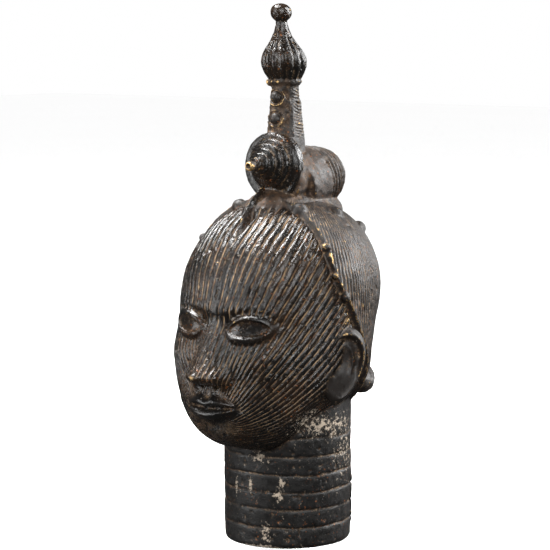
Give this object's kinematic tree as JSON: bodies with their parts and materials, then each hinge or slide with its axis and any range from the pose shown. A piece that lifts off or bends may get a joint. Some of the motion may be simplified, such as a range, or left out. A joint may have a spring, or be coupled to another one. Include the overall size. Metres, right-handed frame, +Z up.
{
  "type": "cast bronze head",
  "caption": "Cast bronze head on a ringed neck, with a striated face, a hair cap with studs, a coiled boss and a tall spire crest; an ornament that stands on its neck.",
  "frame": {"origin": "centre of the neck's flat foot, on the surface it stands on", "axes": "+Z up the neck and the spire; the face looks along -Y; +X is the figure's own left"},
  "size_m": [0.1354, 0.1604, 0.35],
  "materials": {
    "patinated_bronze": "near-black brown patina, glossy on the face and matt on the hair and neck, brown in the grooves, worn to pale gold on the high points"
  },
  "bodies": {
    "root": {"bronze_head": "patinated_bronze"}
  },
  "joints": []
}
